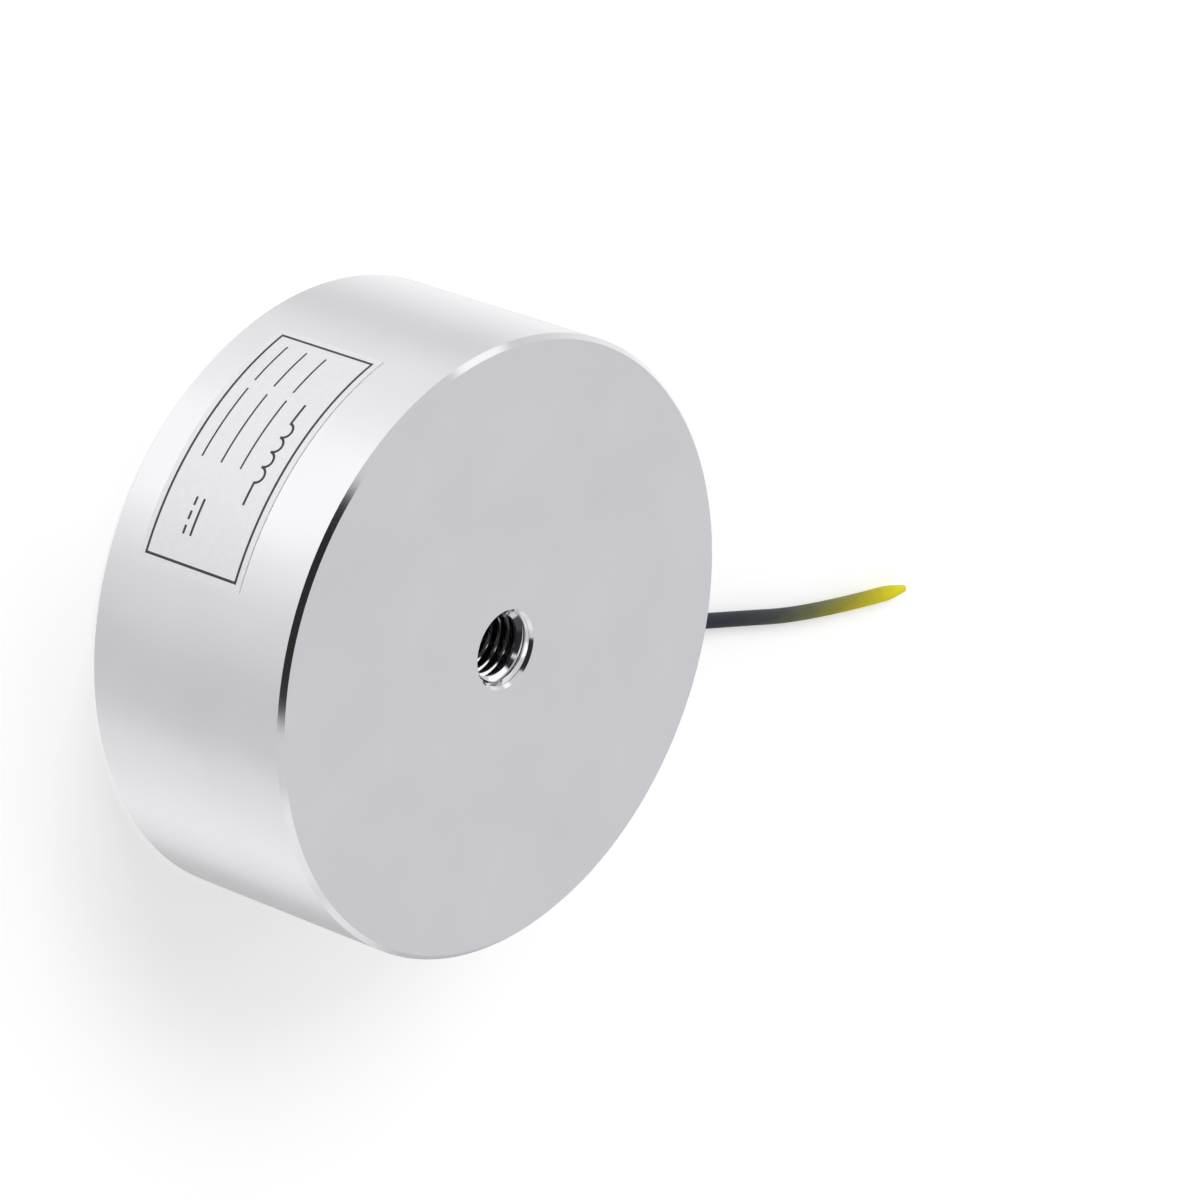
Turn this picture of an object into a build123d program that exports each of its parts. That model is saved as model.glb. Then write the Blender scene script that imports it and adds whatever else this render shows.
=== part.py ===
"""Round holding electromagnet: a turned steel pot with a potted coil and a short lead.

The part stands on its pole face. The origin is the centre of that face, +Z runs up
the axis to the mounting face, and the lead leaves the wall towards +Y. Millimetres.
"""

import os
from math import cos, radians, sin, tan

from build123d import *

os.makedirs("parts", exist_ok=True)

# Steel pot
body_diameter = 100.0
body_height = 40.0
rim_chamfer = 0.8
ring_wall = 5.0
back_thickness = 11.0
pole_edge_chamfer = 0.4

# Blind M12 thread in the middle of the mounting face
thread_diameter = 12.0
thread_pitch = 1.75
tap_drill_diameter = thread_diameter - thread_pitch
thread_length = 20.0
drill_depth = 24.0
drill_point_angle = 118.0
thread_mouth_chamfer = 0.5

# Coil and its insulation
washer_thickness = 0.5
washer_clearance = 0.4
bobbin_clearance = 0.3
bobbin_hub_wall = 1.2
bobbin_flange_thickness = 1.5
bobbin_flange_clearance = 0.6
flange_chamfer = 0.3
resin_cover = 4.0
winding_depth = 16.7
wiring_gap = 4.8
tape_thickness = 0.4
tape_edge_gap = 1.2
resin_recess = 0.2

# Wires inside the pot
tail_diameter = 0.5
tail_slot_width = 4.0
tail_slot_depth = 1.0
tail_slot_angle = 30.0
core_wire_diameter = 1.1
core_wire_spacing = 1.2
core_wire_bend = 1.15
splice_diameter = 2.0
splice_length = 8.0
splice_setback = 2.8
splice_start = 2.5
solder_length = 3.0
solder_cone = 0.6
wire_in_splice = 2.5

# Lead and its bush
lead_diameter = 2.7
lead_drop = 5.0
lead_inside = 0.4
lead_floor_height = 1.4
lead_taper_length = 6.5
lead_tip_diameter = 1.3
bush_bore_clearance = 0.0
bush_barrel_diameter = 5.0
bush_flange_diameter = 7.4
bush_flange_thickness = 1.1
bush_nose_length = 2.6
bush_nose_diameter = 4.0
bush_edge_chamfer = 0.35

# Rating label on the wall
label_width = 43.6
label_height = 21.0
label_thickness = 0.12
label_centre_height = 17.2
label_angle = -115.8

# Sizes that follow from the ones above
body_radius = body_diameter / 2
groove_radius = body_radius - ring_wall
winding_radius = groove_radius - wiring_gap
hub_radius = winding_radius - winding_depth
hub_bore_radius = hub_radius - bobbin_hub_wall
pole_radius = hub_bore_radius - bobbin_clearance
groove_depth = body_height - back_thickness
thread_radius = thread_diameter / 2
tap_drill_radius = tap_drill_diameter / 2
flange_radius = groove_radius - bobbin_flange_clearance
bobbin_top = groove_depth - washer_thickness
bobbin_bottom = resin_cover
winding_top = bobbin_top - bobbin_flange_thickness
winding_bottom = bobbin_bottom + bobbin_flange_thickness
tape_radius = winding_radius + tape_thickness
tape_top = winding_top - tape_edge_gap
slot_start = hub_radius + tail_diameter
wire_radius = (tape_radius + groove_radius) / 2
lead_start = groove_radius - lead_inside
lead_height = winding_top - lead_drop
lead_bore_diameter = lead_diameter + 2 * bush_bore_clearance

lead_plane = Plane(origin=(0, 0, lead_height), x_dir=(1, 0, 0), z_dir=(0, 1, 0))


def ring_point(angle, height, radius=wire_radius):
    """A point on a circle round the axis, its angle measured from the lead's side."""
    return (radius * sin(radians(angle)), radius * cos(radians(angle)), height)


# Pot, turned in one piece with its centre pole
with BuildPart() as pot_body:
    with BuildSketch(Plane.XZ):
        with BuildLine():
            Polyline(
                (0, 0),
                (pole_radius - pole_edge_chamfer, 0),
                (pole_radius, pole_edge_chamfer),
                (pole_radius, groove_depth),
                (groove_radius, groove_depth),
                (groove_radius, pole_edge_chamfer),
                (groove_radius + pole_edge_chamfer, 0),
                (body_radius - rim_chamfer, 0),
                (body_radius, rim_chamfer),
                (body_radius, body_height - rim_chamfer),
                (body_radius - rim_chamfer, body_height),
                (0, body_height),
                close=True,
            )
        make_face()
    revolve(axis=Axis.Z)

    # Tapped hole: chamfered mouth, thread, tap drill and the drill's point
    with BuildSketch(Plane.XZ):
        thread_end = body_height - thread_length
        drill_end = body_height - drill_depth
        drill_tip = drill_end - tap_drill_radius / tan(radians(drill_point_angle / 2))
        with BuildLine():
            Polyline(
                (0, body_height),
                (thread_radius + thread_mouth_chamfer, body_height),
                (thread_radius, body_height - thread_mouth_chamfer),
                (thread_radius, thread_end),
                (tap_drill_radius, thread_end - (thread_radius - tap_drill_radius)),
                (tap_drill_radius, drill_end),
                (0, drill_tip),
                close=True,
            )
        make_face()
    revolve(axis=Axis.Z, mode=Mode.SUBTRACT)

    # Hole through the wall for the lead's bush
    with BuildSketch(lead_plane.offset(lead_start)):
        Circle(bush_barrel_diameter / 2)
    extrude(amount=lead_inside + 2 * ring_wall, mode=Mode.SUBTRACT)
pot_body.part.label = "pot_body"

# Fibre washer between the coil and the floor of the groove
with BuildPart() as groove_washer:
    with BuildSketch(Plane.XY.offset(bobbin_top)):
        Circle(groove_radius - washer_clearance)
        Circle(pole_radius + washer_clearance, mode=Mode.SUBTRACT)
    extrude(amount=washer_thickness)
groove_washer.part.label = "groove_washer"

# Moulded bobbin, with a channel under its upper flange for the start tail
with BuildPart() as coil_bobbin:
    with BuildSketch(Plane.XZ):
        with BuildLine():
            Polyline(
                (hub_bore_radius, bobbin_bottom),
                (flange_radius - flange_chamfer, bobbin_bottom),
                (flange_radius, bobbin_bottom + flange_chamfer),
                (flange_radius, winding_bottom),
                (hub_radius, winding_bottom),
                (hub_radius, winding_top),
                (flange_radius, winding_top),
                (flange_radius, bobbin_top - flange_chamfer),
                (flange_radius - flange_chamfer, bobbin_top),
                (hub_bore_radius, bobbin_top),
                close=True,
            )
        make_face()
    revolve(axis=Axis.Z)
    slot_turn = Plane(
        origin=(0, 0, winding_top),
        x_dir=(cos(radians(90 + tail_slot_angle)), sin(radians(90 + tail_slot_angle)), 0),
        z_dir=(0, 0, 1),
    )
    with BuildSketch(slot_turn):
        with Locations(((slot_start + groove_radius) / 2, 0)):
            Rectangle(groove_radius - slot_start, tail_slot_width)
    extrude(amount=tail_slot_depth, mode=Mode.SUBTRACT)
coil_bobbin.part.label = "coil_bobbin"

# Enamelled copper winding
with BuildPart() as coil_winding:
    with BuildSketch(Plane.XY.offset(winding_bottom)):
        Circle(winding_radius)
        Circle(hub_radius, mode=Mode.SUBTRACT)
    extrude(amount=winding_top - winding_bottom)
coil_winding.part.label = "coil_winding"

# Tape round the winding, short of the upper flange where the finish tail comes out
with BuildPart() as winding_tape:
    with BuildSketch(Plane.XY.offset(winding_bottom)):
        Circle(tape_radius)
        Circle(winding_radius, mode=Mode.SUBTRACT)
    extrude(amount=tape_top - winding_bottom)
winding_tape.part.label = "winding_tape"

# Each splice lies square to the lead, between the tape and the pot's wall
splice_parts = {}
splice_envelopes = []
for side, name in ((-1, "start"), (1, "finish")):
    along = Vector(side, 0, 0)
    near_end = Vector(side * splice_start, groove_radius - splice_setback, lead_height)
    far_end = near_end + along * splice_length
    wire_end = near_end + along * wire_in_splice
    solder_end = wire_end + along * solder_length

    # Insulated core wire from the end of the lead to the splice, its bend in two steps
    with BuildPart() as core_wire:
        wire_side = side * core_wire_spacing / 2
        with BuildLine() as wire_path:
            Polyline(
                (wire_side, lead_start, lead_height),
                (wire_side, near_end.Y + core_wire_bend, lead_height),
                (wire_side + side * core_wire_bend, near_end.Y, lead_height),
                tuple(wire_end),
            )
        with BuildSketch(Plane(origin=wire_path.line @ 0, z_dir=wire_path.line % 0)):
            Circle(core_wire_diameter / 2)
        sweep(transition=Transition.RIGHT)
    core_wire.part.label = f"core_wire_{name}"

    # Soldered joint, pointed towards the tail
    with BuildPart() as solder_joint:
        with BuildSketch(Plane(origin=wire_end, z_dir=along)):
            Circle(core_wire_diameter / 2)
        extrude(amount=solder_length - solder_cone)
        with BuildSketch(Plane(origin=solder_end - along * solder_cone, z_dir=along)):
            Circle(core_wire_diameter / 2)
        with BuildSketch(Plane(origin=solder_end, z_dir=along)):
            Circle(tail_diameter / 2)
        loft()
    solder_joint.part.label = f"solder_joint_{name}"

    # Enamelled tail from the splice to the winding
    tail_points = [tuple(solder_end), tuple(far_end + along)]
    tail_angle = side * tail_slot_angle
    if name == "start":
        slot_height = winding_top + tail_slot_depth / 2
        tail_foot_radius = slot_start + tail_diameter
        tail_points += [
            ring_point(tail_angle, slot_height),
            ring_point(tail_angle, slot_height, tail_foot_radius),
            ring_point(tail_angle, winding_top - tail_diameter, tail_foot_radius),
        ]
    else:
        finish_height = (tape_top + winding_top) / 2
        tail_points += [
            ring_point(tail_angle, finish_height),
            ring_point(tail_angle, finish_height, winding_radius - tail_diameter),
        ]
    with BuildPart() as tail:
        with BuildLine():
            Polyline(*tail_points)
        with BuildSketch(Plane(origin=solder_end, z_dir=along)):
            Circle(tail_diameter / 2)
        sweep(transition=Transition.RIGHT)
        add(coil_winding.part, mode=Mode.SUBTRACT)
    tail.part.label = f"tail_{name}"

    # Heat-shrunk sleeve over the joint
    with BuildPart() as splice_sleeve:
        with BuildSketch(Plane(origin=near_end, z_dir=along)):
            Circle(splice_diameter / 2)
        extrude(amount=splice_length)
        splice_envelopes.append(splice_sleeve.part)
        add(core_wire.part, mode=Mode.SUBTRACT)
        add(solder_joint.part, mode=Mode.SUBTRACT)
        add(tail.part, mode=Mode.SUBTRACT)
    splice_sleeve.part.label = f"splice_sleeve_{name}"

    for piece in (core_wire, solder_joint, tail, splice_sleeve):
        splice_parts[piece.part.label] = piece.part

# Lead: out of the bush, down to the surface that the part stands on, and along it
lead_route = [
    (0, lead_start, lead_height),
    (0, 62.0, lead_height),
    (-0.6, 75.0, 8.5),
    (-2.2, 90.0, lead_floor_height),
    (-4.4, 105.0, lead_floor_height),
    (-7.9, 130.5, lead_floor_height),
    (-14.9, 154.5, lead_floor_height),
]
route = [Vector(*point) for point in lead_route]
runs = [b - a for a, b in zip(route, route[1:])]
lead_bends = []
for run_in, run_out in zip(runs, runs[1:]):
    half_turn = radians(run_in.get_angle(run_out) / 2)
    lead_bends.append(0.45 * min(run_in.length, run_out.length) / tan(half_turn))
print("lead bend radii", [round(bend, 1) for bend in lead_bends])

taper_direction = runs[-1].normalized()
taper_start = route[-1] - taper_direction * lead_taper_length
with BuildPart() as lead_cord:
    with BuildLine() as lead_path:
        FilletPolyline(*route[:-1], taper_start, radius=lead_bends)
    with BuildSketch(Plane(origin=lead_path.line @ 0, z_dir=lead_path.line % 0)):
        Circle(lead_diameter / 2)
    sweep()

    # The end narrows to a blunt tip
    with BuildSketch(Plane(origin=taper_start, z_dir=taper_direction)):
        Circle(lead_diameter / 2)
    with BuildSketch(Plane(origin=route[-1], z_dir=taper_direction)):
        Circle(lead_tip_diameter / 2)
    loft()
lead_cord.part.label = "lead_cord"
lead_length = sum(edge.length for edge in lead_path.line.edges())
print("lead length", round(lead_length + lead_taper_length, 1))
lead_section = lead_diameter**2 * 3.14159 / 4
print("lead volume", round(lead_cord.part.volume, 1), "without taper", round(lead_section * lead_length, 1))

# Moulded bush: barrel in the wall, flange and nose outside
with BuildPart() as lead_bush:
    bush_axis = Axis((0, 0, lead_height), (0, 1, 0))
    flange_end = body_radius + bush_flange_thickness
    nose_end = flange_end + bush_nose_length
    with BuildSketch(Plane(origin=(0, 0, lead_height), x_dir=(1, 0, 0), z_dir=(0, 0, 1))):
        with BuildLine():
            Polyline(
                (lead_bore_diameter / 2, lead_start),
                (bush_barrel_diameter / 2, lead_start),
                (bush_barrel_diameter / 2, body_radius - ring_wall / 2),
                (bush_barrel_diameter / 2, body_radius),
                (bush_barrel_diameter / 2, flange_end),
                (bush_nose_diameter / 2 + bush_edge_chamfer, flange_end),
                (bush_nose_diameter / 2, nose_end),
                (lead_bore_diameter / 2, nose_end),
                close=True,
            )
        make_face()
    revolve(axis=bush_axis)
    with BuildSketch(lead_plane.offset(body_radius - ring_wall / 2)):
        Circle(bush_flange_diameter / 2)
        Circle(lead_bore_diameter / 2, mode=Mode.SUBTRACT)
    extrude(amount=ring_wall / 2 + bush_flange_thickness)
    add(pot_body.part, mode=Mode.SUBTRACT)
    with BuildSketch(Plane.XY):
        Circle(groove_radius)
    extrude(amount=body_height, mode=Mode.SUBTRACT)
    outer_rim = lead_bush.edges().filter_by(GeomType.CIRCLE).group_by(SortBy.RADIUS)[-1]
    chamfer(outer_rim, length=bush_edge_chamfer)
lead_bush.part.label = "lead_bush"

# Cast resin: what the coil and its wires leave of the groove
with BuildPart() as potting_resin:
    with BuildSketch(Plane.XY.offset(resin_recess)):
        Circle(groove_radius)
        Circle(pole_radius, mode=Mode.SUBTRACT)
    extrude(amount=groove_depth - resin_recess)
    for filled in (groove_washer, coil_bobbin, coil_winding, winding_tape, lead_cord, lead_bush):
        add(filled.part, mode=Mode.SUBTRACT)
    for envelope in splice_envelopes:
        add(envelope, mode=Mode.SUBTRACT)
    for name in ("start", "finish"):
        add(splice_parts[f"core_wire_{name}"], mode=Mode.SUBTRACT)
        add(splice_parts[f"tail_{name}"], mode=Mode.SUBTRACT)
potting_resin.part.label = "potting_resin"
print("resin solids", [round(solid.volume, 3) for solid in potting_resin.part.solids()])

# Film label, bent to the wall
with BuildPart() as rating_label:
    half_angle = label_width / body_radius / 2 / radians(1)
    first_angle = label_angle - half_angle
    with BuildSketch(Plane.XY.offset(label_centre_height - label_height / 2)):
        with BuildLine():
            inner = CenterArc((0, 0), body_radius, first_angle, 2 * half_angle)
            outer = CenterArc((0, 0), body_radius + label_thickness, first_angle, 2 * half_angle)
            Line(inner @ 0, outer @ 0)
            Line(inner @ 1, outer @ 1)
        make_face()
    extrude(amount=label_height)
rating_label.part.label = "rating_label"

pieces = [
    pot_body.part,
    groove_washer.part,
    coil_bobbin.part,
    coil_winding.part,
    winding_tape.part,
    potting_resin.part,
    lead_cord.part,
    lead_bush.part,
    rating_label.part,
    *splice_parts.values(),
]
for piece in pieces:
    export_step(piece, f"parts/{piece.label}.step")
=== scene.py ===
# %% [markdown]
# # A holding electromagnet in Blender
#
# The magnet is a steel pot 100 mm across, standing on its pole face with the mounting
# face up. The lathe work, the label and the lead carry the look, so most cells here
# are about turned metal, a thin film and a soft wire. The solids come from the CAD
# model and keep their place: this script dresses them and adds the fine pieces that
# a drawing leaves out, such as the thread's ridges and the print on the label.

# %% Load the frame
import math

import bmesh
import bpy
from mathutils import Matrix, Vector


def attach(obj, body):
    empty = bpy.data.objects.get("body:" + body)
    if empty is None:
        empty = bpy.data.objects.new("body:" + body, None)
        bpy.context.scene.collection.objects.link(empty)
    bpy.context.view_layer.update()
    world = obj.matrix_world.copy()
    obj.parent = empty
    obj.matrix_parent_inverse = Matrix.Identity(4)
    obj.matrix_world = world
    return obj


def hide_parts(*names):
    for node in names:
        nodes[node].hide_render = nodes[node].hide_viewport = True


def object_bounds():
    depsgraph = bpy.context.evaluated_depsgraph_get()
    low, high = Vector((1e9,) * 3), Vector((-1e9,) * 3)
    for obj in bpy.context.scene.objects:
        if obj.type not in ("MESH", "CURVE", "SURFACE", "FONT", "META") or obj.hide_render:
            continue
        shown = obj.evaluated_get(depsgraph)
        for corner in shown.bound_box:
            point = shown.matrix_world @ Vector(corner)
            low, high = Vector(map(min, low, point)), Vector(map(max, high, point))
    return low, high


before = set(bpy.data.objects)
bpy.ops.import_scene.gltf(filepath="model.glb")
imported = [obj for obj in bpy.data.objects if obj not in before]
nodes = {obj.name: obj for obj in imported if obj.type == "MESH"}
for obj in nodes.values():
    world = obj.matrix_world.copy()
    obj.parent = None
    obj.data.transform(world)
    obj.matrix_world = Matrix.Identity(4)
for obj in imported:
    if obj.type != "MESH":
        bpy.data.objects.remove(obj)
cad_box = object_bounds()
scene = bpy.context.scene
MM = 0.001
print("nodes:", sorted(nodes))

# %% [markdown]
# ## Camera
#
# The photograph was taken from above and in front with a long lens, and the picture is
# rolled so that the magnet's axis runs nearly level across it. A camera object looks
# along its own -Z, so its place and a point to aim at give two of its turns. The third
# is the roll about the line of sight.

# %% Camera
FRAME_PIXELS = 1200
FOCAL_PIXELS = 6500
SENSOR_WIDTH = 36.0
CAMERA_PLACE = Vector((-96.7, -784.3, 652.7)) * MM
CAMERA_AIM = Vector((-7.1, 46.0, 20.0)) * MM
CAMERA_ROLL = math.radians(109.07)

bpy.ops.object.select_all(action="DESELECT")
bpy.ops.object.camera_add(location=CAMERA_PLACE)
camera = bpy.context.object
camera.name = "photo_camera"
camera.data.sensor_width = SENSOR_WIDTH
camera.data.lens = FOCAL_PIXELS * SENSOR_WIDTH / FRAME_PIXELS
line_of_sight = (CAMERA_AIM - CAMERA_PLACE).to_track_quat("-Z", "Y")
turn = line_of_sight.to_matrix() @ Matrix.Rotation(CAMERA_ROLL, 3, "Z")
camera.rotation_euler = turn.to_euler()
scene.camera = camera
print("lens", round(camera.data.lens, 1), "mm")

# %% [markdown]
# ## Helpers for modelling
#
# Operators work on what is selected, and loading the frame leaves its nodes selected.
# So each new piece starts with nothing selected, and each finished piece has its place
# moved into its mesh, as the CAD nodes have.


# %% Helpers
def select_only(piece):
    """Makes piece the only selected object and the active one."""
    bpy.ops.object.select_all(action="DESELECT")
    piece.select_set(True)
    bpy.context.view_layer.objects.active = piece


def place_into_mesh(piece, name):
    """Names the piece and moves its place, turn and scale into its mesh."""
    piece.name = name
    piece.data.name = name
    select_only(piece)
    bpy.ops.object.transform_apply(location=True, rotation=True, scale=True)


def apply_modifier(piece, kind, **values):
    """Adds a modifier, sets its values and applies it."""
    select_only(piece)
    modifier = piece.modifiers.new(kind.title(), kind)
    for key, value in values.items():
        setattr(modifier, key, value)
    bpy.ops.object.modifier_apply(modifier=modifier.name)


# %% [markdown]
# ## Shared effects
#
# Several finishes need the same small irregularities. Each effect is a node group with
# its own inputs, built once, and every material that uses it sets its own values.
# Turned metal carries fine rings: on a flat face they follow the radius, and on the
# wall they follow the height, so the group reads both and lets the surface's direction
# choose between them.


# %% Node helpers
def new_group(name, inputs, outputs):
    """A shader node group with named sockets: each input is (name, kind, value)."""
    group = bpy.data.node_groups.new(name, "ShaderNodeTree")
    for label, kind, value in inputs:
        socket = group.interface.new_socket(label, in_out="INPUT", socket_type=kind)
        if value is not None:
            socket.default_value = value
    for label, kind in outputs:
        group.interface.new_socket(label, in_out="OUTPUT", socket_type=kind)
    return group, group.nodes.new("NodeGroupInput"), group.nodes.new("NodeGroupOutput")


def feed(tree, socket, value):
    """Links an input to another node's output, or sets it to a plain value."""
    if isinstance(value, bpy.types.NodeSocket):
        tree.links.new(value, socket)
    elif value is not None:
        socket.default_value = value


def math_node(tree, operation, first, second=None):
    """A Math node whose inputs are sockets or numbers. Returns its output."""
    node = tree.nodes.new("ShaderNodeMath")
    node.operation = operation
    for socket, value in zip(node.inputs, (first, second)):
        feed(tree, socket, value)
    return node.outputs[0]


def mix_colour(tree, factor, first, second):
    """A Mix node for colours. Returns its output."""
    node = tree.nodes.new("ShaderNodeMix")
    node.data_type = "RGBA"
    # The node has sockets for every kind of value. 0 is the factor, 6 and 7 are the
    # colours, and output 2 is their mix.
    for number, value in ((0, factor), (6, first), (7, second)):
        feed(tree, node.inputs[number], value)
    return node.outputs[2]


def coordinates(tree, kind):
    """The x, y and z of a texture coordinate, such as Object or Normal, as sockets."""
    source = tree.nodes.new("ShaderNodeTexCoord")
    axes = tree.nodes.new("ShaderNodeSeparateXYZ")
    tree.links.new(source.outputs[kind], axes.inputs[0])
    return axes.outputs


# %% Turning marks
def build_turning_marks():
    """Fine rings of a lathe tool, as a height, on faces and walls round the Z axis."""
    group, entry, out = new_group(
        "turning_marks",
        [("Rings per mm", "NodeSocketFloat", 4.0)],
        [("Height", "NodeSocketFloat")],
    )
    place = coordinates(group, "Object")
    squares = [math_node(group, "MULTIPLY", place[axis], place[axis]) for axis in (0, 1)]
    radius = math_node(group, "SQRT", math_node(group, "ADD", *squares))
    level = math_node(group, "ABSOLUTE", coordinates(group, "Normal")[2])
    heights = []
    for distance in (radius, place[2]):
        millimetres = math_node(group, "MULTIPLY", distance, 1 / MM)
        rings = math_node(group, "MULTIPLY", millimetres, entry.outputs[0])
        noise = group.nodes.new("ShaderNodeTexNoise")
        noise.noise_dimensions = "1D"
        noise.inputs["Scale"].default_value = 1.0
        noise.inputs["Detail"].default_value = 2.0
        group.links.new(rings, noise.inputs["W"])
        heights.append(noise.outputs["Fac"])
    on_face = math_node(group, "MULTIPLY", heights[0], level)
    on_wall = math_node(group, "MULTIPLY", heights[1], math_node(group, "SUBTRACT", 1.0, level))
    group.links.new(math_node(group, "ADD", on_face, on_wall), out.inputs[0])
    return group


turning_marks = build_turning_marks()


# %% Soft mottling
def build_mottling():
    """Slow, faint changes over a surface, as a value near 0.5 and a signed shift."""
    group, entry, out = new_group(
        "soft_mottling",
        [("Patches per m", "NodeSocketFloat", 60.0), ("Amount", "NodeSocketFloat", 0.05)],
        [("Value", "NodeSocketFloat"), ("Shift", "NodeSocketFloat")],
    )
    place = group.nodes.new("ShaderNodeTexCoord")
    noise = group.nodes.new("ShaderNodeTexNoise")
    noise.inputs["Detail"].default_value = 3.0
    noise.inputs["Roughness"].default_value = 0.55
    group.links.new(place.outputs["Object"], noise.inputs["Vector"])
    group.links.new(entry.outputs[0], noise.inputs["Scale"])
    centred = math_node(group, "SUBTRACT", noise.outputs["Fac"], 0.5)
    group.links.new(noise.outputs["Fac"], out.inputs[0])
    group.links.new(math_node(group, "MULTIPLY", centred, entry.outputs[1]), out.inputs[1])
    return group


soft_mottling = build_mottling()


# %% Material helpers
ROUGHNESS_DRIFT = 0.12


def new_material(name, metallic, roughness):
    """A material with a Principled BSDF. Returns the material, its tree and the shader."""
    material = bpy.data.materials.new(name)
    material.use_nodes = True
    tree = material.node_tree
    shader = tree.nodes["Principled BSDF"]
    shader.inputs["Metallic"].default_value = metallic
    shader.inputs["Roughness"].default_value = roughness
    return material, tree, shader


def add_group(tree, group, **values):
    """Places a node group in a material with its own values."""
    node = tree.nodes.new("ShaderNodeGroup")
    node.node_tree = group
    for label, value in values.items():
        node.inputs[label.replace("_", " ")].default_value = value
    return node


def add_bump(tree, shader, height, bump_mm, strength=1.0):
    """Shades the surface as if a height of 1 stood this many millimetres out of it."""
    bump = tree.nodes.new("ShaderNodeBump")
    bump.inputs["Strength"].default_value = strength
    bump.inputs["Distance"].default_value = bump_mm * MM
    tree.links.new(height, bump.inputs["Height"])
    tree.links.new(bump.outputs[0], shader.inputs["Normal"])


def mottled_finish(name, dark, light, roughness, patches, bump_mm, metallic=0.0):
    """A finish whose colour drifts between two tones, and its roughness with it."""
    material, tree, shader = new_material(name, metallic, roughness)
    mottle = add_group(tree, soft_mottling, Patches_per_m=patches, Amount=ROUGHNESS_DRIFT)
    tone = mix_colour(tree, mottle.outputs["Value"], dark, light)
    tree.links.new(tone, shader.inputs["Base Color"])
    rough = math_node(tree, "ADD", mottle.outputs["Shift"], roughness)
    tree.links.new(rough, shader.inputs["Roughness"])
    add_bump(tree, shader, mottle.outputs["Value"], bump_mm)
    return material


def dress(piece, material):
    """Gives every slot of the piece this material."""
    if not piece.material_slots:
        piece.data.materials.append(material)
    for slot in piece.material_slots:
        slot.material = material


# %% [markdown]
# ## Turned and plated steel
#
# The pot is turned from bar and has a thin bright plate. Seen closely, its faces have
# very fine rings, its plate drifts a little in tone, and the small chamfers on both
# rims are cut last with a sharp tool, so they are smoother than the rest and mirror
# what is around them. The chamfers need no mesh of their own: their surface points
# halfway between up and out, and the material finds them by that tilt.

# %% Pot steel
STEEL_DARK = (0.70, 0.70, 0.725, 1)
STEEL_LIGHT = (0.78, 0.78, 0.80, 1)
STEEL_ROUGHNESS = 0.24
CHAMFER_ROUGHNESS = 0.09
CHAMFER_TILT = math.sin(math.radians(45))
CHAMFER_TILT_SPREAD = 0.2
MARKS_STRENGTH = 0.25
MARKS_HEIGHT = 0.002

pot_steel, tree, shader = new_material("pot_steel", 1.0, STEEL_ROUGHNESS)
mottle = add_group(tree, soft_mottling, Patches_per_m=55.0, Amount=0.06)
marks = add_group(tree, turning_marks, Rings_per_mm=5.0)
tone = mix_colour(tree, mottle.outputs["Value"], STEEL_DARK, STEEL_LIGHT)
tree.links.new(tone, shader.inputs["Base Color"])

tilt = math_node(tree, "ABSOLUTE", coordinates(tree, "Normal")[2])
off_chamfer = math_node(tree, "ABSOLUTE", math_node(tree, "SUBTRACT", tilt, CHAMFER_TILT))
on_chamfer = math_node(tree, "LESS_THAN", off_chamfer, CHAMFER_TILT_SPREAD)
smoother = math_node(tree, "MULTIPLY", on_chamfer, CHAMFER_ROUGHNESS - STEEL_ROUGHNESS)
drift = math_node(tree, "ADD", mottle.outputs["Shift"], STEEL_ROUGHNESS)
tree.links.new(math_node(tree, "ADD", drift, smoother), shader.inputs["Roughness"])
add_bump(tree, shader, marks.outputs["Height"], MARKS_HEIGHT, MARKS_STRENGTH)
dress(nodes["pot_body"], pot_steel)
print("pot steel:", len(pot_steel.node_tree.nodes), "nodes")

# %% [markdown]
# ## Thread
#
# The tapped hole is M12. The solid's bore is as wide as the thread's root, and the
# ridge between its turns is added here. One ridge is drawn as a short profile and the
# Screw modifier winds it down the hole, one pitch for each turn. Its shape is the
# standard one for a nut thread: 0.5413 of the pitch deep, with a quarter of the pitch
# left flat at its crest and an eighth between two turns. The mouth then cuts the first
# turns back: a point that stands inside the mouth's cone is moved out to it.

# %% Thread sizes
THREAD_PITCH = 1.75
THREAD_ROOT_RADIUS = 6.0
THREAD_DEPTH = 0.5413 * THREAD_PITCH
THREAD_CREST_RADIUS = THREAD_ROOT_RADIUS - THREAD_DEPTH
THREAD_TURNS = 11
THREAD_START_ANGLE = math.radians(60)
THREAD_STEPS = 64
MOUTH_DEPTH = 0.5
MOUTH_SLOPE = math.tan(math.radians(30))
WALL_OVERLAP = 0.03
FACE_GAP = 0.01
SHARP_EDGE = math.radians(30)
face_height = cad_box[1][2] / MM
crest_half = THREAD_PITCH / 8
base_half = THREAD_PITCH / 2 - THREAD_PITCH / 16
thread_top = face_height + base_half
base_radius = THREAD_ROOT_RADIUS + WALL_OVERLAP
print("thread: from", round(THREAD_CREST_RADIUS, 2), "to", base_radius, "mm")

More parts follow.
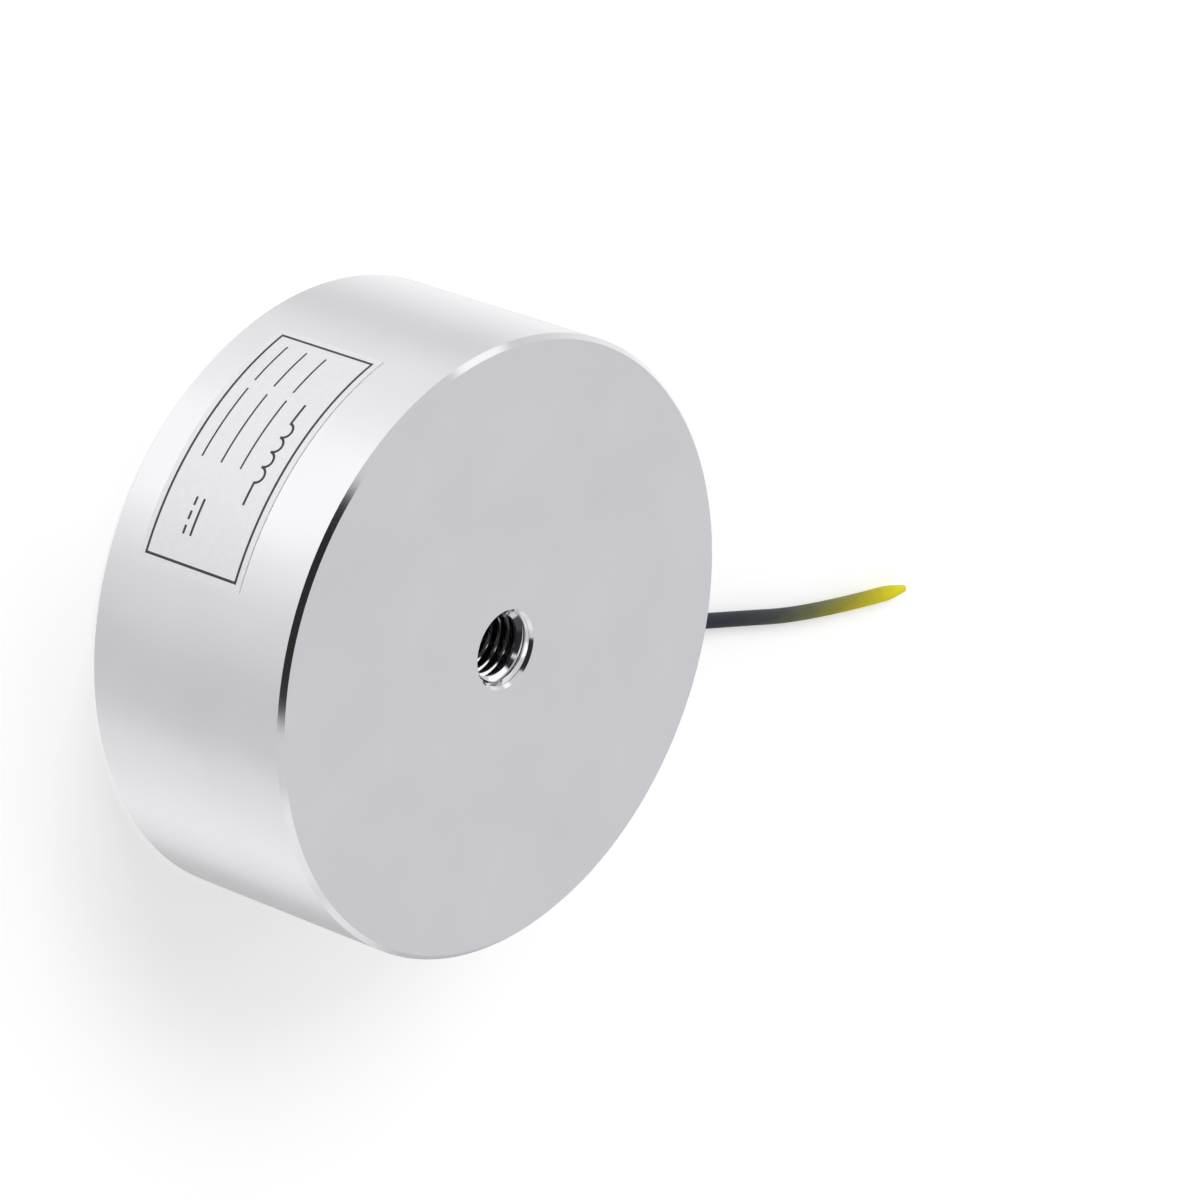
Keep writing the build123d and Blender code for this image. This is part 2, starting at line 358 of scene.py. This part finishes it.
# %% Wind the ridge
bpy.ops.object.select_all(action="DESELECT")
bpy.ops.mesh.primitive_circle_add(vertices=4, radius=MM, fill_type="NOTHING")
ridge = bpy.context.object
profile = [
    (base_radius, base_half),
    (THREAD_CREST_RADIUS, crest_half),
    (THREAD_CREST_RADIUS, -crest_half),
    (base_radius, -base_half),
]
for vertex, (radius, height) in zip(ridge.data.vertices, profile):
    across = radius * math.cos(THREAD_START_ANGLE)
    along = radius * math.sin(THREAD_START_ANGLE)
    vertex.co = Vector((across, along, thread_top + height)) * MM
apply_modifier(
    ridge,
    "SCREW",
    angle=-2 * math.pi,
    screw_offset=-THREAD_PITCH * MM,
    iterations=THREAD_TURNS,
    steps=THREAD_STEPS,
    render_steps=THREAD_STEPS,
    use_merge_vertices=True,
)
place_into_mesh(ridge, "thread_ridge")

# %% Cut the thread's mouth
for vertex in ridge.data.vertices:
    depth = max(FACE_GAP, face_height - vertex.co.z / MM)
    vertex.co.z = (face_height - depth) * MM
    chamfer = max(0, MOUTH_DEPTH - depth)
    countersink = max(0, depth - MOUTH_DEPTH) * MOUTH_SLOPE
    least = base_radius + chamfer - countersink
    if vertex.co.xy.length < least * MM:
        vertex.co.xy *= least * MM / vertex.co.xy.length
select_only(ridge)
bpy.ops.object.mode_set(mode="EDIT")
bpy.ops.mesh.select_all(action="SELECT")
bpy.ops.mesh.normals_make_consistent(inside=False)
bpy.ops.object.mode_set(mode="OBJECT")
bpy.ops.object.shade_smooth_by_angle(angle=SHARP_EDGE)
dress(ridge, pot_steel)
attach(ridge, "root")
print("thread ridge:", len(ridge.data.polygons), "faces")

# %% [markdown]
# ## Label
#
# The film is a CAD solid bent to the wall. Its print is a black frame with a few ruled
# lines and two plain circuit signs, the winding and direct current. Ink has almost no
# thickness, but as thin solids bent round the same axis the lines stay sharp from any
# distance. They are drawn flat first, where left and right are easy, and then every
# point is wrapped round the wall.

# %% Label film
LABEL_LIGHT = (0.84, 0.84, 0.86, 1)
LABEL_DARK = (0.75, 0.75, 0.775, 1)
label_film = mottled_finish(
    "label_film",
    LABEL_DARK,
    LABEL_LIGHT,
    roughness=0.42,
    patches=900.0,
    bump_mm=0.002,
    metallic=0.35,
)
dress(nodes["rating_label"], label_film)

# %% Where the film lies
film = [vertex.co for vertex in nodes["rating_label"].data.vertices]
film_heights = [point.z / MM for point in film]
film_angles = [math.atan2(point.y, point.x) for point in film]
label_radius = max(point.xy.length for point in film) / MM
label_height = (min(film_heights) + max(film_heights)) / 2
label_angle = (min(film_angles) + max(film_angles)) / 2
print("label: radius", round(label_radius, 2), "mm, height", round(label_height, 1), "mm")

# %% Ink shapes
INK_THICKNESS = 0.015
ARCH_STEPS = 16


def ink_bar(middle_x, middle_y, width, height, steps=1):
    """A flat bar of ink. Long bars get steps, so that they can be bent."""
    bpy.ops.object.select_all(action="DESELECT")
    bpy.ops.mesh.primitive_grid_add(x_subdivisions=steps, y_subdivisions=1, size=1)
    bar = bpy.context.object
    bar.scale = (width, height, 1)
    bar.location = (middle_x, middle_y, 0)
    bpy.ops.object.transform_apply(location=True, rotation=True, scale=True)
    return bar


def ink_arch(middle_x, foot_y, radius, line):
    """A half ring of ink, one hump of the winding sign, drawn by spinning a short edge."""
    bpy.ops.object.select_all(action="DESELECT")
    bpy.ops.mesh.primitive_plane_add(size=1)
    arch = bpy.context.object
    bpy.ops.object.mode_set(mode="EDIT")
    mesh = bmesh.from_edit_mesh(arch.data)
    mesh.clear()
    ends = [mesh.verts.new((radius + side * line / 2, 0, 0)) for side in (-1, 1)]
    edge = mesh.edges.new(ends)
    for element in (*ends, edge):
        element.select = True
    bmesh.update_edit_mesh(arch.data)
    bpy.ops.mesh.spin(steps=ARCH_STEPS, angle=-math.pi, center=(0, 0, 0), axis=(0, 0, 1))
    bpy.ops.object.mode_set(mode="OBJECT")
    highest = max(vertex.co.y for vertex in arch.data.vertices)
    arch.location = (middle_x, foot_y, 0)
    # An arch that was spun downwards is turned over.
    if highest < radius / 2:
        arch.rotation_euler.z = math.pi
    bpy.ops.object.transform_apply(location=True, rotation=True, scale=True)
    return arch


# %% Frame of the print
BORDER_WIDTH = 41.6
BORDER_HEIGHT = 19.0
BORDER_LINE = 0.42
BORDER_STEPS = 48
half_width = (BORDER_WIDTH - BORDER_LINE) / 2
half_height = (BORDER_HEIGHT - BORDER_LINE) / 2
side_height = BORDER_HEIGHT - 2 * BORDER_LINE
ink = [
    ink_bar(0, half_height, BORDER_WIDTH, BORDER_LINE, BORDER_STEPS),
    ink_bar(0, -half_height, BORDER_WIDTH, BORDER_LINE, BORDER_STEPS),
    ink_bar(-half_width, 0, BORDER_LINE, side_height),
    ink_bar(half_width, 0, BORDER_LINE, side_height),
]

# %% Winding sign
# Four humps stand between two short leads.
SIGN_LINE = 0.42
SIGN_Y = 5.1
SIGN_LEAD = 3.8
HUMP_RADIUS = 1.35
HUMPS = 4
sign_half = HUMPS * HUMP_RADIUS
for number in range(HUMPS):
    hump_x = (2 * number + 1) * HUMP_RADIUS - sign_half
    ink.append(ink_arch(hump_x, SIGN_Y, HUMP_RADIUS, SIGN_LINE))
for side in (-1, 1):
    lead_x = side * (sign_half + SIGN_LEAD / 2)
    ink.append(ink_bar(lead_x, SIGN_Y + SIGN_LINE / 2, SIGN_LEAD, SIGN_LINE, steps=6))

# %% Ruled lines
# Each line has two parts, given by their middle, width and steps.
RULE_LINE = 0.32
RULE_TOP = 1.6
RULE_PITCH = 4.0
RULE_ROWS = 3
RULE_PARTS = [(-14.6, 8.0, 10), (-2.4, 13.0, 16)]
for row in range(RULE_ROWS):
    rule_y = RULE_TOP - RULE_PITCH * row
    for rule_x, rule_width, rule_steps in RULE_PARTS:
        ink.append(ink_bar(rule_x, rule_y, rule_width, RULE_LINE, rule_steps))

# %% Direct current sign
# One bar lies over three short ones.
CURRENT_X = 13.2
CURRENT_BAR_Y = -2.0
CURRENT_BAR = 6.0
CURRENT_DASH_Y = -3.5
CURRENT_DASH = 1.4
CURRENT_DASH_PITCH = 2.3
ink.append(ink_bar(CURRENT_X, CURRENT_BAR_Y, CURRENT_BAR, SIGN_LINE, steps=8))
for number in (-1, 0, 1):
    dash_x = CURRENT_X + CURRENT_DASH_PITCH * number
    ink.append(ink_bar(dash_x, CURRENT_DASH_Y, CURRENT_DASH, SIGN_LINE, steps=2))
print("flat print:", len(ink), "shapes")

# %% Ink
INK_DARK = (0.018, 0.018, 0.020, 1)
INK_LIGHT = (0.035, 0.035, 0.038, 1)
printed_ink = mottled_finish(
    "printed_ink", INK_DARK, INK_LIGHT, roughness=0.45, patches=1500.0, bump_mm=0.001
)

# %% Wrap the print round the wall
bpy.ops.object.select_all(action="DESELECT")
for bar in ink:
    bar.select_set(True)
bpy.context.view_layer.objects.active = ink[0]
bpy.ops.object.join()
label_print = bpy.context.object
select_only(label_print)
bpy.ops.object.mode_set(mode="EDIT")
bpy.ops.mesh.select_all(action="SELECT")
bpy.ops.mesh.extrude_region_move(TRANSFORM_OT_translate={"value": (0, 0, INK_THICKNESS)})
bpy.ops.mesh.select_all(action="SELECT")
bpy.ops.mesh.normals_make_consistent(inside=False)
bpy.ops.object.mode_set(mode="OBJECT")
for vertex in label_print.data.vertices:
    along, up, out = vertex.co
    angle = label_angle + along / label_radius
    reach = (label_radius + out) * MM
    height = (label_height + up) * MM
    vertex.co = Vector((reach * math.cos(angle), reach * math.sin(angle), height))
place_into_mesh(label_print, "label_print")
dress(label_print, printed_ink)
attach(label_print, "root")
print("label print:", len(label_print.data.polygons), "faces")

# %% [markdown]
# ## Lead
#
# The lead leaves the wall behind the magnet, drops to the table and runs along it in
# one gentle curve. Its route is a smooth spline. The tube is swept round points read
# from that spline, because its end narrows to a soft tip, which a curve's own bevel
# can't do within the last few millimetres.

# %% Route
LEAD_DIAMETER = 2.7
LEAD_ROUTE = [
    (0, 44.6, 22.0),
    (0, 62.0, 22.0),
    (-0.6, 75.0, 8.5),
    (-2.2, 90.0, 1.4),
    (-4.4, 105.0, 1.4),
    (-7.9, 130.5, 1.4),
    (-14.9, 154.5, 1.4),
]

route = bpy.data.curves.new("lead_route", "CURVE")
route.dimensions = "3D"
route.resolution_u = 24
spline = route.splines.new("NURBS")
spline.points.add(len(LEAD_ROUTE) - 1)
for point, place in zip(spline.points, LEAD_ROUTE):
    point.co = (*(Vector(place) * MM), 1)
spline.order_u = 3
spline.use_endpoint_u = True
route_object = bpy.data.objects.new("lead_route", route)
bpy.context.collection.objects.link(route_object)
bpy.context.view_layer.update()
line = bpy.data.meshes.new_from_object(route_object)
path = [vertex.co.copy() for vertex in line.vertices]
bpy.data.objects.remove(route_object)
steps = [0.0]
for before, after in zip(path, path[1:]):
    steps.append(steps[-1] + (after - before).length)
lead_length = steps[-1]
print("lead route:", len(path), "points,", round(lead_length / MM, 1), "mm")

# %% Shape of the tube
TAPER_LENGTH = 6.5
TIP_RADIUS = 0.65
TIP_BULGE = 0.6 * TIP_RADIUS
RING_SIDES = 24
RING_GAP = 0.6


def lead_radius(distance):
    """The tube's radius at a distance along it: full, then narrowing to the tip."""
    left = (lead_length - distance) / MM
    full = LEAD_DIAMETER / 2
    if left >= TAPER_LENGTH:
        return full * MM
    share = left / TAPER_LENGTH
    return (TIP_RADIUS + (full - TIP_RADIUS) * math.sin(share * math.pi / 2)) * MM


def dense_path(points, distances, gap):
    """The same line with its points no further apart than the gap, for a smooth end."""
    dense, marks = [], []
    for before, after, start, end in zip(points, points[1:], distances, distances[1:]):
        pieces = max(1, math.ceil((end - start) / gap))
        for number in range(pieces):
            share = number / pieces
            dense.append(before.lerp(after, share))
            marks.append(start + share * (end - start))
    return dense + [points[-1]], marks + [distances[-1]]


tube_path, tube_marks = dense_path(path, steps, RING_GAP * MM)

# %% Rings and skin
tube = bmesh.new()
uv_layer = tube.loops.layers.uv.new("along_lead")
rings = []
for number, (middle, mark) in enumerate(zip(tube_path, tube_marks)):
    before = tube_path[max(0, number - 1)]
    after = tube_path[min(len(tube_path) - 1, number + 1)]
    forward = (after - before).normalized()
    side = forward.cross(Vector((0, 0, 1))).normalized()
    up = side.cross(forward)
    ring = []
    for step in range(RING_SIDES):
        angle = 2 * math.pi * step / RING_SIDES
        offset = side * math.cos(angle) + up * math.sin(angle)
        ring.append(tube.verts.new(middle + offset * lead_radius(mark)))
    rings.append(ring)
for number, (ring, next_ring) in enumerate(zip(rings, rings[1:])):
    for step in range(RING_SIDES):
        follow = (step + 1) % RING_SIDES
        face = tube.faces.new((ring[step], ring[follow], next_ring[follow], next_ring[step]))
        face.smooth = True
        spots = (
            (number, step),
            (number, step + 1),
            (number + 1, step + 1),
            (number + 1, step),
        )
        for loop, (row, column) in zip(face.loops, spots):
            loop[uv_layer].uv = (tube_marks[row] / lead_length, column / RING_SIDES)

# %% Close both ends
tip_direction = (tube_path[-1] - tube_path[-2]).normalized()
tip = tube.verts.new(tube_path[-1] + tip_direction * TIP_BULGE * MM)
start = tube.verts.new(tube_path[0])
for step in range(RING_SIDES):
    follow = (step + 1) % RING_SIDES
    tip_corners = (rings[-1][step], rings[-1][follow], tip)
    start_corners = (rings[0][follow], rings[0][step], start)
    for corners, share in ((tip_corners, 1.0), (start_corners, 0.0)):
        face = tube.faces.new(corners)
        face.smooth = corners is tip_corners
        for loop in face.loops:
            loop[uv_layer].uv = (share, step / RING_SIDES)
bmesh.ops.recalc_face_normals(tube, faces=tube.faces)
lead_mesh = bpy.data.meshes.new("lead")
tube.to_mesh(lead_mesh)
tube.free()
lead = bpy.data.objects.new("lead", lead_mesh)
bpy.context.collection.objects.link(lead)
print("lead:", len(lead_mesh.polygons), "faces in", len(rings), "rings")

# %% [markdown]
# The jacket is dark slate where it leaves the magnet and turns olive and then bright
# yellow towards its end. The tube's own coordinates run from 0 to 1 along it, so a
# colour ramp along them gives the fade, and the coordinate round the tube lets one
# side turn olive sooner than the other.

# %% Jacket colours
LEAD_COLOURS = [
    (0.00, (0.016, 0.020, 0.030, 1)),
    (0.55, (0.018, 0.023, 0.033, 1)),
    (0.66, (0.040, 0.048, 0.044, 1)),
    (0.75, (0.125, 0.130, 0.058, 1)),
    (0.84, (0.300, 0.280, 0.020, 1)),
    (0.90, (0.560, 0.490, 0.005, 1)),
    (0.95, (0.800, 0.690, 0.006, 1)),
    (1.00, (0.880, 0.770, 0.012, 1)),
]
JACKET_ROUGHNESS = 0.55
JACKET_SPECULAR = 0.22
JACKET_BUMP = 0.02
SIDE_SHIFT = 0.045


def colour_ramp(tree, position, stops):
    """A Color Ramp node with these (position, colour) stops. Returns the node."""
    ramp = tree.nodes.new("ShaderNodeValToRGB")
    elements = ramp.color_ramp.elements
    while len(elements) < len(stops):
        elements.new(0.5)
    for element, (place, colour) in zip(elements, stops):
        element.position = place
        element.color = colour
    tree.links.new(position, ramp.inputs[0])
    return ramp


# %% Jacket material
lead_jacket, tree, shader = new_material("lead_jacket", 0.0, JACKET_ROUGHNESS)
shader.inputs["Specular IOR Level"].default_value = JACKET_SPECULAR
lead_place = tree.nodes.new("ShaderNodeUVMap")
lead_place.uv_map = "along_lead"
parts = tree.nodes.new("ShaderNodeSeparateXYZ")
tree.links.new(lead_place.outputs[0], parts.inputs[0])
mottle = add_group(tree, soft_mottling, Patches_per_m=260.0, Amount=0.05)
around = math_node(tree, "MULTIPLY", parts.outputs[1], 2 * math.pi)
early = math_node(tree, "MULTIPLY", math_node(tree, "COSINE", around), SIDE_SHIFT)
along = math_node(tree, "ADD", parts.outputs[0], early)
along = math_node(tree, "ADD", along, mottle.outputs["Shift"])
jacket_colour = colour_ramp(tree, along, LEAD_COLOURS)
tree.links.new(jacket_colour.outputs[0], shader.inputs["Base Color"])
add_bump(tree, shader, mottle.outputs["Value"], JACKET_BUMP)
dress(lead, lead_jacket)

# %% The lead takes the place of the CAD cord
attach(lead, "root")
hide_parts("lead_cord")

# %% [markdown]
# ## Resin, bush and the pieces inside
#
# The rest of the magnet is seen from below or not at all. The resin in the groove sets
# to a glossy black ring, and the bush is soft moulded rubber. Inside lie the bobbin,
# its winding and the soldered joints, each with the finish of its own material, so
# that the magnet also looks right in a cut-away.

# %% Other finishes
# Each finish: dark and light tone, roughness, patches per metre, bump in mm, metallic.
OTHER_FINISHES = {
    "cast_resin": ((0.012, 0.012, 0.014, 1), (0.030, 0.030, 0.034, 1), 0.16, 120.0, 0.12, 0.0),
    "bush_rubber": ((0.016, 0.016, 0.017, 1), (0.030, 0.030, 0.032, 1), 0.62, 700.0, 0.02, 0.0),
    "fibre": ((0.34, 0.13, 0.06, 1), (0.48, 0.22, 0.12, 1), 0.75, 400.0, 0.03, 0.0),
    "bobbin_nylon": ((0.70, 0.67, 0.57, 1), (0.82, 0.80, 0.72, 1), 0.45, 90.0, 0.02, 0.0),
    "winding_tape": ((0.62, 0.44, 0.08, 1), (0.80, 0.62, 0.16, 1), 0.25, 150.0, 0.03, 0.0),
    "core_insulation": ((0.38, 0.03, 0.025, 1), (0.50, 0.06, 0.045, 1), 0.40, 500.0, 0.01, 0.0),
    "heat_shrink": ((0.018, 0.018, 0.020, 1), (0.035, 0.035, 0.038, 1), 0.50, 300.0, 0.03, 0.0),
    "solder": ((0.55, 0.55, 0.54, 1), (0.75, 0.75, 0.73, 1), 0.28, 900.0, 0.03, 1.0),
}
finishes = {name: mottled_finish(name, *values) for name, values in OTHER_FINISHES.items()}

# %% Copper winding
# The winding is one solid ring, so its turns are drawn as fine ridges along the height.
TURNS_PER_MM = 2.0
TURN_BUMP = 0.1
COPPER_DARK = (0.50, 0.17, 0.06, 1)
COPPER_LIGHT = (0.72, 0.30, 0.12, 1)
COPPER_ROUGHNESS = 0.3

copper, tree, shader = new_material("enamelled_copper", 1.0, COPPER_ROUGHNESS)
mottle = add_group(tree, soft_mottling, Patches_per_m=300.0)
tone = mix_colour(tree, mottle.outputs["Value"], COPPER_DARK, COPPER_LIGHT)
tree.links.new(tone, shader.inputs["Base Color"])
height = coordinates(tree, "Object")[2]
turns = math_node(tree, "MULTIPLY", height, 2 * math.pi * TURNS_PER_MM / MM)
add_bump(tree, shader, math_node(tree, "SINE", turns), TURN_BUMP)
finishes["enamelled_copper"] = copper

# %% Dress the CAD nodes
NODE_FINISHES = {
    "potting_resin": "cast_resin",
    "lead_bush": "bush_rubber",
    "groove_washer": "fibre",
    "coil_bobbin": "bobbin_nylon",
    "coil_winding": "enamelled_copper",
    "winding_tape": "winding_tape",
}
for side in ("start", "finish"):
    NODE_FINISHES[f"core_wire_{side}"] = "core_insulation"
    NODE_FINISHES[f"solder_joint_{side}"] = "solder"
    NODE_FINISHES[f"splice_sleeve_{side}"] = "heat_shrink"
    NODE_FINISHES[f"tail_{side}"] = "enamelled_copper"
for name, finish in NODE_FINISHES.items():
    dress(nodes[name], finishes[finish])
print("dressed:", len(NODE_FINISHES), "nodes in", len(finishes), "finishes")

# %% [markdown]
# ## Floor
#
# The floor is pale and large. More light from the lamp would make it white, but it
# would burn out the metal too. So the floor shines a little by itself where the camera
# looks at it, which gives the white background and still keeps the soft shadow. Mirror
# rays pass through it and meet the room instead, and from below it is clear, so the
# pole face shows.

# %% Floor
FLOOR_SIZE = 8.0
FLOOR_DROP = 0.02
FLOOR_GREY = (0.80, 0.80, 0.80, 1)
FLOOR_GLOW = 0.40

bpy.ops.object.select_all(action="DESELECT")
bpy.ops.mesh.primitive_plane_add(size=FLOOR_SIZE, location=(0, 0, -FLOOR_DROP * MM))
floor = bpy.context.object
floor.name = "floor"
pale_floor = bpy.data.materials.new("pale_floor")
pale_floor.use_nodes = True
tree = pale_floor.node_tree
tree.nodes.clear()
diffuse = tree.nodes.new("ShaderNodeBsdfDiffuse")
diffuse.inputs["Color"].default_value = FLOOR_GREY
glow = tree.nodes.new("ShaderNodeEmission")
rays = tree.nodes.new("ShaderNodeLightPath")
seen = math_node(tree, "MAXIMUM", rays.outputs["Is Camera Ray"], rays.outputs["Is Glossy Ray"])
seen = math_node(tree, "MAXIMUM", seen, rays.outputs["Is Transmission Ray"])
tree.links.new(math_node(tree, "MULTIPLY", seen, FLOOR_GLOW), glow.inputs["Strength"])
both = tree.nodes.new("ShaderNodeAddShader")
tree.links.new(diffuse.outputs[0], both.inputs[0])
tree.links.new(glow.outputs[0], both.inputs[1])
side = tree.nodes.new("ShaderNodeNewGeometry")
clear = tree.nodes.new("ShaderNodeBsdfTransparent")
from_above = tree.nodes.new("ShaderNodeMixShader")
tree.links.new(side.outputs["Backfacing"], from_above.inputs[0])
tree.links.new(both.outputs[0], from_above.inputs[1])
tree.links.new(clear.outputs[0], from_above.inputs[2])
surface = tree.nodes.new("ShaderNodeOutputMaterial")
tree.links.new(from_above.outputs[0], surface.inputs[0])
floor.data.materials.append(pale_floor)
floor.visible_glossy = False
print("floor:", FLOOR_SIZE, "m across")

# %% [markdown]
# ## Room
#
# Plain metal shows its surroundings, so the room is part of the finish. It could be
# built from walls and lamps, but here the world's colour is worked out from a ray's
# direction, so each part of the room is moved or dimmed by one number. The camera sees
# plain white in its place. The metal mirrors the room, and the room lights the matt
# surfaces too. Its walls have brighter and darker bands, which draw the streaks on the
# turned wall. Its ceiling is nearly black and gives the dark line on the nearest part of
# the rim and the depth of the thread. Soft boxes light the rest of the rim, the thread's
# mouth and the face from above, and the fourth of them is a dark card.

# %% Walls of the room
# Each pair is a direction round the room in degrees and how bright the wall is there.
ROOM_BANDS = [
    (-180, 1.07),
    (-159, 1.16),
    (-143, 1.30),
    (-111, 1.32),
    (-95, 1.08),
    (-79, 0.90),
    (-47, 0.73),
    (-31, 0.76),
    (-15, 0.96),
    (17, 1.10),
    (33, 0.96),
    (49, 0.62),
    (68, 0.56),
    (105, 1.14),
    (121, 1.06),
    (150, 0.84),
    (170, 1.04),
    (180, 1.07),
]
ROOM_BRIGHTEST = 1.4

# As a ray rises from the first height to the second, the bands fade into one tone.
UPPER_FADE = (0.15, 0.42)
UPPER_TONE = (0.788, 0.784, 0.80)

# %% Ceiling and soft boxes
# A middle is a heading and a rise in degrees. An edge says how near to it a ray points
# where the fade starts and where it ends, from 1 for straight at it to 0 for square.
# The ceiling stops short of the back wall.
CEILING_DARK = 0.03
CEILING_MIDDLE = (-69, 83.5)
CEILING_EDGE = (0.743, 0.776)
BACK_WALL_MIDDLE = (83, 0)
BACK_WALL_EDGE = (0.45, 0.32)

# Each soft box has its heading and rise, how many degrees off its middle it starts and
# where it is full, and how bright it is.
SOFT_BOXES = [
    (152, 52, 24, 17, 1.3),
    (162, 27, 12, 5, 1.25),
    (-2, 27, 20, 8, 1.03),
    (30, 42, 18, 12, 0.08),
    (-80, 14, 28, 20, 1.35),
    (0, 90, 7.5, 5, 1.6),
]

# %% World helpers
world = bpy.data.worlds.new("studio_room")
scene.world = world
world.use_nodes = True
tree = world.node_tree
tree.nodes.clear()
looking = tree.nodes.new("ShaderNodeTexCoord")
axes = tree.nodes.new("ShaderNodeSeparateXYZ")
tree.links.new(looking.outputs["Generated"], axes.inputs[0])


def tone_of(red, green, blue):
    """A brightness in the room as a colour, where 1 is the room's brightest."""
    return (red / ROOM_BRIGHTEST, green / ROOM_BRIGHTEST, blue / ROOM_BRIGHTEST, 1)


def grey(brightness):
    """The same brightness in all three colours."""
    return tone_of(brightness, brightness, brightness)


def fade(value, start, end):
    """A soft step of a socket's value, from 0 at start to 1 at end."""
    step = tree.nodes.new("ShaderNodeMapRange")
    step.interpolation_type = "SMOOTHSTEP"
    step.inputs["From Min"].default_value = start
    step.inputs["From Max"].default_value = end
    tree.links.new(value, step.inputs["Value"])
    return step.outputs[0]


def towards(heading, rise):
    """How near a ray points to one direction: 1 straight at it, 0 square to it."""
    heading, rise = math.radians(heading), math.radians(rise)
    level = math.cos(rise)
    aim = (level * math.cos(heading), level * math.sin(heading), math.sin(rise))
    dot = tree.nodes.new("ShaderNodeVectorMath")
    dot.operation = "DOT_PRODUCT"
    dot.inputs[1].default_value = aim
    tree.links.new(looking.outputs["Generated"], dot.inputs[0])
    return dot.outputs["Value"]


# %% Build the room
heading = math_node(tree, "ARCTAN2", axes.outputs[1], axes.outputs[0])
turned = math_node(tree, "ADD", math_node(tree, "MULTIPLY", heading, 0.5 / math.pi), 0.5)
stops = [(degrees / 360 + 0.5, grey(brightness)) for degrees, brightness in ROOM_BANDS]
bands = colour_ramp(tree, turned, stops)
bands.color_ramp.interpolation = "EASE"
upper = fade(axes.outputs[2], *UPPER_FADE)
shade = mix_colour(tree, upper, bands.outputs[0], tone_of(*UPPER_TONE))
in_ceiling = fade(towards(*CEILING_MIDDLE), *CEILING_EDGE)
off_back_wall = fade(towards(*BACK_WALL_MIDDLE), *BACK_WALL_EDGE)
ceiling = math_node(tree, "MULTIPLY", in_ceiling, off_back_wall)
shade = mix_colour(tree, ceiling, shade, grey(CEILING_DARK))
for box_heading, box_rise, start, full, brightness in SOFT_BOXES:
    edges = (math.cos(math.radians(start)), math.cos(math.radians(full)))
    in_box = fade(towards(box_heading, box_rise), *edges)
    shade = mix_colour(tree, in_box, shade, grey(brightness))
room = tree.nodes.new("ShaderNodeBackground")
tree.links.new(shade, room.inputs["Color"])
room.inputs["Strength"].default_value = ROOM_BRIGHTEST
white = tree.nodes.new("ShaderNodeBackground")
white.inputs["Strength"].default_value = 1.0
rays = tree.nodes.new("ShaderNodeLightPath")
camera_ray = rays.outputs["Is Camera Ray"]
transmission_ray = rays.outputs["Is Transmission Ray"]
choice = tree.nodes.new("ShaderNodeMixShader")
seen = math_node(tree, "MAXIMUM", camera_ray, transmission_ray)
tree.links.new(seen, choice.inputs[0])
tree.links.new(room.outputs[0], choice.inputs[1])
tree.links.new(white.outputs[0], choice.inputs[2])
surface = tree.nodes.new("ShaderNodeOutputWorld")
tree.links.new(choice.outputs[0], surface.inputs[0])
print("room:", len(ROOM_BANDS), "bands and", len(SOFT_BOXES), "soft boxes")

# %% [markdown]
# ## Window light
#
# One large soft lamp stands for a window. It lights the matt surfaces and draws the
# shadow on the floor. The metal doesn't mirror it, because the room has its own soft
# boxes where the metal needs them.

# %% Window light
WINDOW_PLACE = Vector((-1.1, -0.5, 1.3))
WINDOW_SIZE = 0.9
WINDOW_POWER = 9.0

bpy.ops.object.select_all(action="DESELECT")
bpy.ops.object.light_add(type="AREA", location=WINDOW_PLACE)
window = bpy.context.object
window.name = "window"
window.data.size = WINDOW_SIZE
window.data.energy = WINDOW_POWER
window.rotation_euler = (-WINDOW_PLACE).to_track_quat("-Z", "Y").to_euler()
window.visible_glossy = False
print("window:", WINDOW_POWER, "W,", WINDOW_SIZE, "m wide")

# %% [markdown]
# ## Finish
#
# The picture is shown as it is lit, with no film curve.

# %% View
scene.view_settings.view_transform = "Standard"
